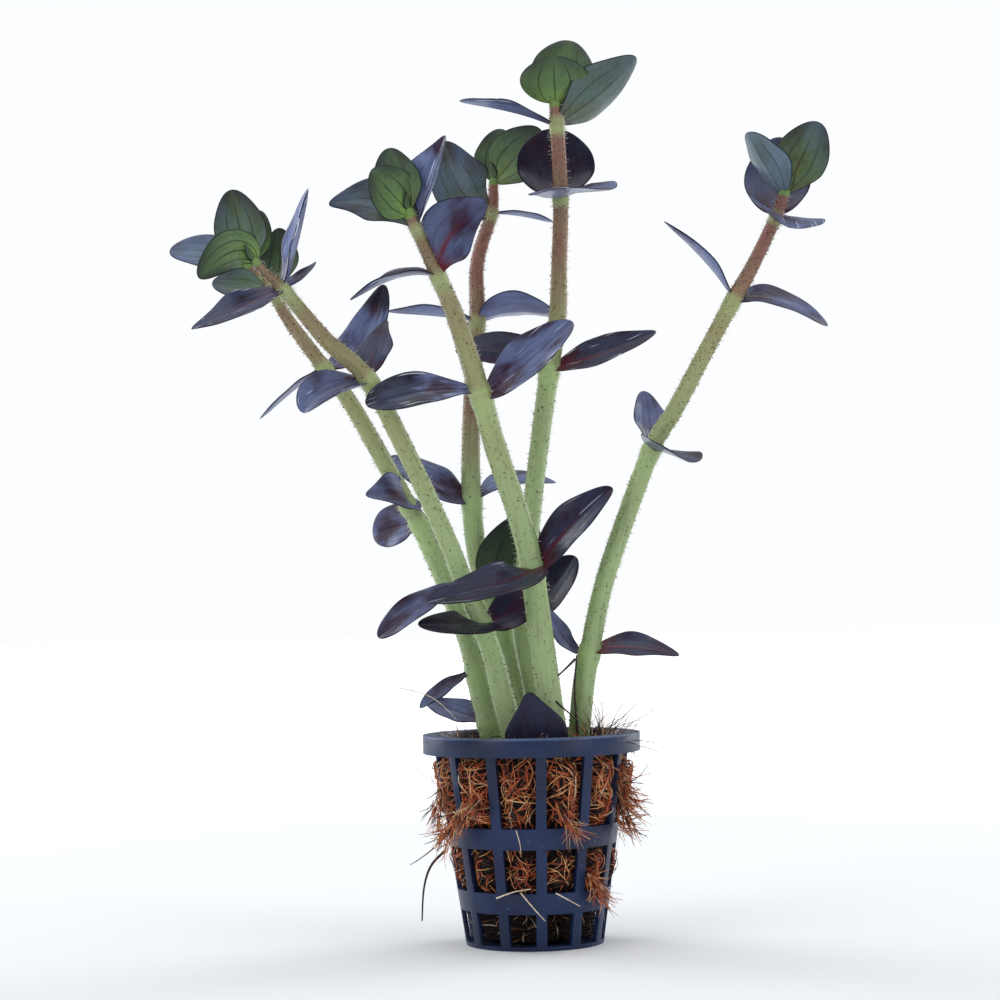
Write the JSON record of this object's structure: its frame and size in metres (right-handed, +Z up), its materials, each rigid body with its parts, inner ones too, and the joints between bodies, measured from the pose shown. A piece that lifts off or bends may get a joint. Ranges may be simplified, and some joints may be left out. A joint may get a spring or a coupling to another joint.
{
  "type": "potted aquarium stem plant",
  "caption": "Leafy purple-brown aquarium stems with oval leaves in opposite pairs, planted in coir in a small dark slotted net pot.",
  "frame": {"origin": "centre of the underside of the pot's base", "axes": "+Z up out of the pot, -Y towards the side seen in the picture, +X to the right of that side"},
  "size_m": [0.1553, 0.0655, 0.2118],
  "materials": {
    "pot": "satin",
    "coir": "matte",
    "stem": "satin",
    "young_leaf": "satin",
    "leaf": "satin"
  },
  "bodies": {
    "root": {"pot": "pot", "growing_medium": "coir", "stem_left": "stem", "stem_left_back": "stem", "stem_front": "stem", "stem_back": "stem", "stem_tall": "stem", "stem_right": "stem", "shoot_tip_left": "young_leaf", "shoot_tip_left_back": "young_leaf", "shoot_tip_front": "young_leaf", "shoot_tip_back": "young_leaf", "shoot_tip_tall": "young_leaf", "shoot_tip_right": "young_leaf", "leaf_left_1_upright": "leaf", "leaf_left_1_low": "leaf", "leaf_left_2_drooping": "leaf", "leaf_left_2_upright": "leaf", "leaf_left_3_low": "leaf", "leaf_left_4_flat": "leaf", "leaf_left_back_1_far": "leaf", "leaf_left_back_1_near": "leaf", "leaf_left_back_2_low": "leaf", "leaf_left_back_3_upright": "leaf", "leaf_left_back_3_thin": "leaf", "leaf_left_back_4_folded": "leaf", "leaf_left_back_4_round": "leaf", "leaf_left_back_5_narrow": "leaf", "leaf_left_back_6_low": "leaf", "leaf_front_1_left": "leaf", "leaf_front_1_right": "leaf", "leaf_front_2_right": "leaf", "leaf_front_2_left": "leaf", "leaf_front_3_left": "leaf", "leaf_front_3_right": "leaf", "leaf_front_4_left": "leaf", "leaf_front_4_right": "leaf", "leaf_back_1_left": "leaf", "leaf_back_1_right": "leaf", "leaf_back_2_left": "leaf", "leaf_back_2_right": "leaf", "leaf_back_3_left": "leaf", "leaf_back_3_right": "leaf", "leaf_back_4_right": "leaf", "leaf_tall_1_right": "leaf", "leaf_tall_1_left": "leaf", "leaf_tall_2_back": "leaf", "leaf_tall_2_front": "leaf", "leaf_tall_3_right": "leaf", "leaf_tall_3_left": "leaf", "leaf_tall_4_left": "leaf", "leaf_right_1_back": "leaf", "leaf_right_1_front": "leaf", "leaf_right_2_left": "leaf", "leaf_right_2_right": "leaf", "leaf_right_3_back": "leaf", "leaf_right_3_front": "leaf", "leaf_right_4_left": "leaf", "leaf_right_4_right": "leaf", "leaf_low_front": "leaf"}
  },
  "joints": []
}
